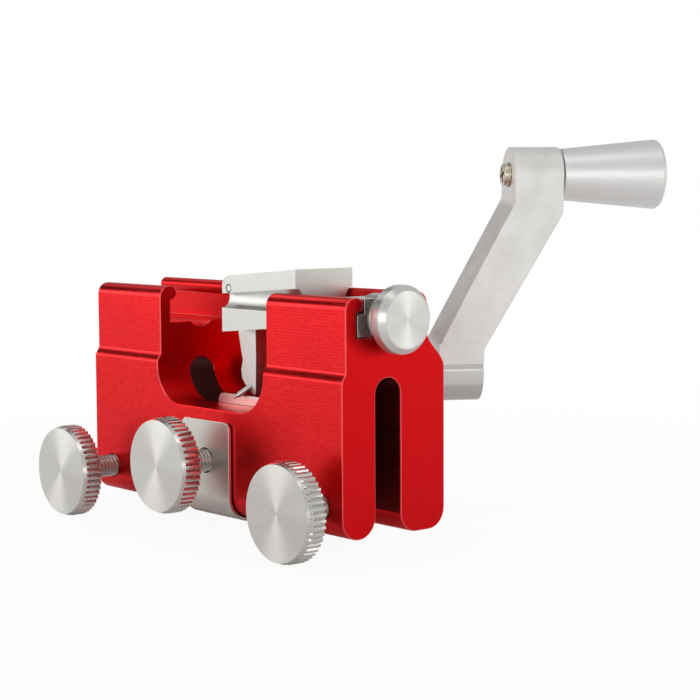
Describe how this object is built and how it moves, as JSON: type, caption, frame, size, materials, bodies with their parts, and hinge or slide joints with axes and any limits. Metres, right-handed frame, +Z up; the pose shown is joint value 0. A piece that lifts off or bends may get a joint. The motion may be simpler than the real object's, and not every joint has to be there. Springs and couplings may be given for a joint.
{
  "type": "chain sharpening jig",
  "caption": "Hand-cranked saw-chain sharpener: slotted red extrusion with a window, thumb screws, a sliding pawl carriage and an angled crank that turns a grinding rod.",
  "frame": {"origin": "a point on the jaw face inside the guide-bar slot, midway along the body and 15 mm above the legs' lower edges", "axes": "+X along the body towards the adjuster knob, +Y to the back where the crank is, +Z up"},
  "size_m": [0.1197, 0.1328, 0.1015],
  "materials": {
    "body": "red anodised extrusion with fine lines along its length",
    "chain_clip": "bright rolled spring strip",
    "left_clamp_screw": "threaded",
    "left_clamp_knob": "turned face, straight knurl",
    "right_clamp_screw": "threaded",
    "right_clamp_knob": "turned face, straight knurl",
    "chain_screw": "threaded",
    "chain_knob": "turned face, straight knurl",
    "carriage": "satin",
    "pawl": "ground",
    "pawl_pin": "plain",
    "end_block": "satin",
    "adjuster_screw": "threaded",
    "adjuster_knob": "turned and polished",
    "retaining_ring": "plain",
    "guide_sleeve": "turned",
    "grinding_rod": "ground",
    "crank_arm": "satin blasted",
    "rod_set_screw": "plain",
    "handle_grip": "satin turned",
    "handle_bolt": "nickel plated",
    "handle_washer": "plain"
  },
  "bodies": {
    "body": {"body": "body", "chain_clip": "chain_clip", "end_block": "end_block"},
    "left_clamp_stud": {"left_clamp_screw": "left_clamp_screw"},
    "left_clamp_head": {"left_clamp_knob": "left_clamp_knob"},
    "right_clamp_stud": {"right_clamp_screw": "right_clamp_screw"},
    "right_clamp_head": {"right_clamp_knob": "right_clamp_knob"},
    "chain_stud": {"chain_screw": "chain_screw"},
    "chain_head": {"chain_knob": "chain_knob"},
    "carriage": {"carriage": "carriage", "pawl_pin": "pawl_pin"},
    "adjuster": {"adjuster_screw": "adjuster_screw", "adjuster_knob": "adjuster_knob", "retaining_ring": "retaining_ring"},
    "pawl": {"pawl": "pawl"},
    "sleeve": {"guide_sleeve": "guide_sleeve"},
    "crank": {"crank_arm": "crank_arm", "grinding_rod": "grinding_rod", "rod_set_screw": "rod_set_screw", "handle_bolt": "handle_bolt", "handle_washer": "handle_washer"},
    "handle": {"handle_grip": "handle_grip"}
  },
  "joints": [
    {"name": "left_clamp_slide", "type": "slide", "parent": "body", "child": "left_clamp_stud", "axis": [0, 1, 0], "range_m": [-0.0054, 0.01]},
    {"name": "left_clamp_turn", "type": "hinge", "parent": "left_clamp_stud", "child": "left_clamp_head", "pos_m": [-0.0458, -0.0299, -0.0075], "axis": [0, 1, 0], "range_deg": [-1944, 3600]},
    {"name": "right_clamp_slide", "type": "slide", "parent": "body", "child": "right_clamp_stud", "axis": [0, 1, 0], "range_m": [-0.009, 0.007]},
    {"name": "right_clamp_turn", "type": "hinge", "parent": "right_clamp_stud", "child": "right_clamp_head", "pos_m": [0.0458, -0.0267, -0.0075], "axis": [0, 1, 0], "range_deg": [-3240, 2520]},
    {"name": "chain_slide", "type": "slide", "parent": "body", "child": "chain_stud", "axis": [0, 1, 0], "range_m": [-0.0062, 0.0022]},
    {"name": "chain_turn", "type": "hinge", "parent": "chain_stud", "child": "chain_head", "pos_m": [0, -0.0296, -0.001], "axis": [0, 1, 0], "range_deg": [-2232, 792]},
    {"name": "carriage_slide", "type": "slide", "parent": "body", "child": "carriage", "axis": [1, 0, 0], "range_m": [-0.0018, 0.0055]},
    {"name": "adjuster_turn", "type": "hinge", "parent": "carriage", "child": "adjuster", "pos_m": [0.04, -0.004, 0.0376], "axis": [1, 0, 0], "range_deg": [-810, 2475]},
    {"name": "pawl_swing", "type": "hinge", "parent": "carriage", "child": "pawl", "pos_m": [0.0024, -0.004, 0.0433], "axis": [0, 1, 0], "range_deg": [0, 45]},
    {"name": "rod_feed", "type": "slide", "parent": "body", "child": "sleeve", "axis": [0.5, 0.866, 0], "range_m": [-0.0105, 0.004]},
    {"name": "crank_turn", "type": "hinge", "parent": "sleeve", "child": "crank", "pos_m": [-0.008, -0.004, 0.0187], "axis": [0.5, 0.866, 0], "continuous": true},
    {"name": "handle_spin", "type": "hinge", "parent": "crank", "child": "handle", "pos_m": [-0.0037, -0.00649, 0.07227], "axis": [0.5, 0.866, 0], "continuous": true}
  ],
  "couplings": [
    {"joint": "left_clamp_slide", "follows": "left_clamp_turn", "m_per_rad": 0.00015915},
    {"joint": "right_clamp_slide", "follows": "right_clamp_turn", "m_per_rad": 0.00015915},
    {"joint": "chain_slide", "follows": "chain_turn", "m_per_rad": 0.00015915},
    {"joint": "carriage_slide", "follows": "adjuster_turn", "m_per_rad": 0.00012732}
  ]
}
